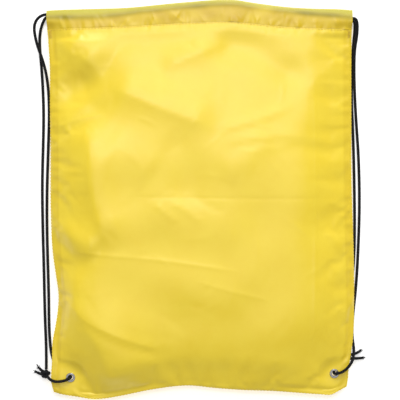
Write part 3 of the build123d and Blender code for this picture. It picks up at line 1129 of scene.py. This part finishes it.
def make_casing(name, node, panel_grid, centre_z, up):
    panel_edge = panel_grid[-1][np.argsort(panel_grid[-1, :, 0])]
    grid = casing_grid(panel_edge, centre_z, up)
    normals = grid_normals(grid)
    top = grid[len(grid) // 4, :, 2].mean()
    faces_out = normals[len(grid) // 4, :, 2].mean() * (top - centre_z) > 0
    grid = grid if faces_out else grid[:, ::-1]
    split_halves(name, node, grid, casing_tint(grid))


FRONT_GRID, BACK_GRID = make_panels()
make_casing("front_casing_cloth", "front_casing", FRONT_GRID, FRONT_CASING_Z, 1)
make_casing("back_casing_cloth", "back_casing", BACK_GRID, BACK_CASING_Z, -1)

# ---- stitches ----

STITCH_LENGTH = 2.7
STITCH_STEP = 3.5
STITCH_RADIUS = 0.24
CASING_STITCH_LIFT = 0.34
SEAM_STITCH_LIFT = 0.3
SEAM_STITCH_RADIUS = 0.2


def stitch_shape(start, end, normal_lift, radius=STITCH_RADIUS):
    """One stitch: a short thread that dips into the cloth at both ends."""
    t = np.linspace(0, 1, 7)[:, None]
    line = start * (1 - t) + end * t
    line = line + normal_lift * (np.sin(math.pi * t) ** 0.6 - 0.35)
    return tube(line, radius, around=6, taper=lambda s: 0.55 + 0.45 * np.sin(math.pi * s))


def stitches_along(line):
    """Start and end of each stitch along a line."""
    even = resample(line, STITCH_STEP)
    return [(a, a + (b - a) * (STITCH_LENGTH / STITCH_STEP)) for a, b in zip(even, even[1:])]


def add_thread_piece(parts, name, node):
    piece = parts.make(name)
    dress(piece, node, "thread")
    return piece


def make_casing_stitches():
    """The row of stitches that closes each casing."""
    for name, grid, up in (("front", FRONT_GRID, 1), ("back", BACK_GRID, -1)):
        lift = np.array([0, 0, up * CASING_STITCH_LIFT])
        line = grid[-1] * 0.4 + grid[-2] * 0.6
        line = line[np.argsort(line[:, 0])][2:-2]
        row = {"left": Parts(), "right": Parts()}
        for a, b in stitches_along(line):
            side = "left" if (a[0] + b[0]) / 2 < 0 else "right"
            row[side].add(*stitch_shape(a, b, lift))
        for side, parts in row.items():
            piece = add_thread_piece(
                parts, f"{name}_casing_stitches_{side}", f"{name}_casing_thread"
            )
            follow_mouth(piece, side)


def seam_thread(edge, count, trim, out, name, node):
    """Stitches at the rim's height that show between the two cloths along one edge."""
    line = smooth_line(edge, count)[trim]
    line = np.concatenate([line, np.full((len(line), 1), RIM_Z)], axis=1)
    parts = Parts()
    for a, b in stitches_along(line):
        parts.add(*stitch_shape(a, b, np.array(out) * SEAM_STITCH_LIFT, SEAM_STITCH_RADIUS))
    return add_thread_piece(parts, name, node)


def make_seam_stitches():
    """The threads along the side and bottom seams."""
    for side, edge, out in (("left", LEFT_EDGE, -1.0), ("right", RIGHT_EDGE, 1.0)):
        piece = seam_thread(
            edge, 260, slice(6, -8), (out, 0, 0), f"{side}_seam_stitches",
            f"{side}_side_seam_thread",
        )
        follow_mouth(piece, side)
    piece = seam_thread(
        BOTTOM_EDGE, 240, slice(4, -4), (0, -1.0, 0), "bottom_seam_stitches",
        "bottom_seam_thread",
    )
    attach(piece, "bag")


def cloth_level(grid, place):
    """Height of a cloth grid at its nearest point to a place."""
    away = np.hypot(grid[..., 0] - place[0], grid[..., 1] - place[1])
    return grid[..., 2].ravel()[away.argmin()]


BARTACK_PASSES = 17
BARTACK_Y = (176.0, 183.0)
BARTACK_INSET = (1.6, 4.4)  # how far inside the edge a pass starts and ends
BARTACK_ZIGZAG = 0.22


def make_bartack(side):
    """A dense zigzag of thread across the top of a side seam."""
    sign, edge_line = (-1, LEFT_EDGE) if side == "left" else (1, RIGHT_EDGE)
    xs, ys = np.array(edge_line).T
    near, far = BARTACK_INSET
    parts = Parts()
    for i, y in enumerate(np.linspace(*BARTACK_Y, BARTACK_PASSES)):
        edge = np.interp(y, ys, xs)
        slant = BARTACK_ZIGZAG * (-1) ** i
        ends = np.array([[edge - sign * near, y], [edge - sign * far, y + slant]])
        a, b = (np.array([*end, cloth_level(FRONT_GRID, end) + 0.12]) for end in ends)
        parts.add(*stitch_shape(a, b, np.array([0, 0, 0.2]), 0.22))
    piece = add_thread_piece(parts, f"{side}_bartack_thread", f"{side}_mouth_bartack")
    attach(piece, f"{side}_mouth_corner")


make_casing_stitches()
make_seam_stitches()
for which_side in ("left", "right"):
    make_bartack(which_side)

# ---- the pieces that stay as the frame has them ----

KEPT = {
    "eyelet_metal": [
        "left_eyelet", "left_eyelet_washer", "right_eyelet", "right_eyelet_washer",
    ],
    "cord": ["left_drawcord_channel", "right_drawcord_channel"],
}


def dress_kept_nodes():
    for slot_name, nodes in KEPT.items():
        for node in nodes:
            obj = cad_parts[node]
            obj.data.materials.clear()
            obj.data.materials.append(MATERIALS[slot_name])


dress_kept_nodes()

# ---- room ----


FLOOR_HALF = 3000.0
FLOOR_GLOW = 0.4  # makes up for the shadows that the photo's background lacks
ROOM_LIGHT = 0.37
LIGHTS = [  # name, place and size in metres, watts
    ("key", (0.45, 3.3, 2.2), (2.6, 1.4), 94.0),
    ("gloss", (0.0, 0.92, 2.0), (1.2, 0.45), 11.2),
    ("overhead", (0.0, -0.1, 1.9), (1.2, 1.2), 5.0),
]


def make_floor():
    corners = np.array([(-1, -1, 0), (1, -1, 0), (1, 1, 0), (-1, 1, 0)]) * FLOOR_HALF
    floor = add_mesh("floor", corners, [(0, 1, 2, 3)])
    material, _, shader = node_material("studio_white", 0.9, (0.95, 0.95, 0.95), 0.1)
    shader.inputs["Emission Color"].default_value = (1, 1, 1, 1)
    shader.inputs["Emission Strength"].default_value = FLOOR_GLOW
    floor.data.materials.append(material)


def add_area_light(name, place, size, power):
    light = bpy.data.lights.new(name, "AREA")
    light.shape = "RECTANGLE"
    light.size, light.size_y = size
    light.energy = power
    obj = bpy.data.objects.new(name, light)
    obj.location = place
    obj.rotation_euler = (-Vector(place)).to_track_quat("-Z", "Y").to_euler()
    bpy.context.scene.collection.objects.link(obj)


def make_lights():
    for light in LIGHTS:
        add_area_light(*light)
    world = bpy.data.worlds.new("room")
    bpy.context.scene.world = world
    world.use_nodes = True
    background = world.node_tree.nodes["Background"]
    background.inputs["Color"].default_value = (1, 1, 1, 1)
    background.inputs["Strength"].default_value = ROOM_LIGHT


make_floor()
make_lights()
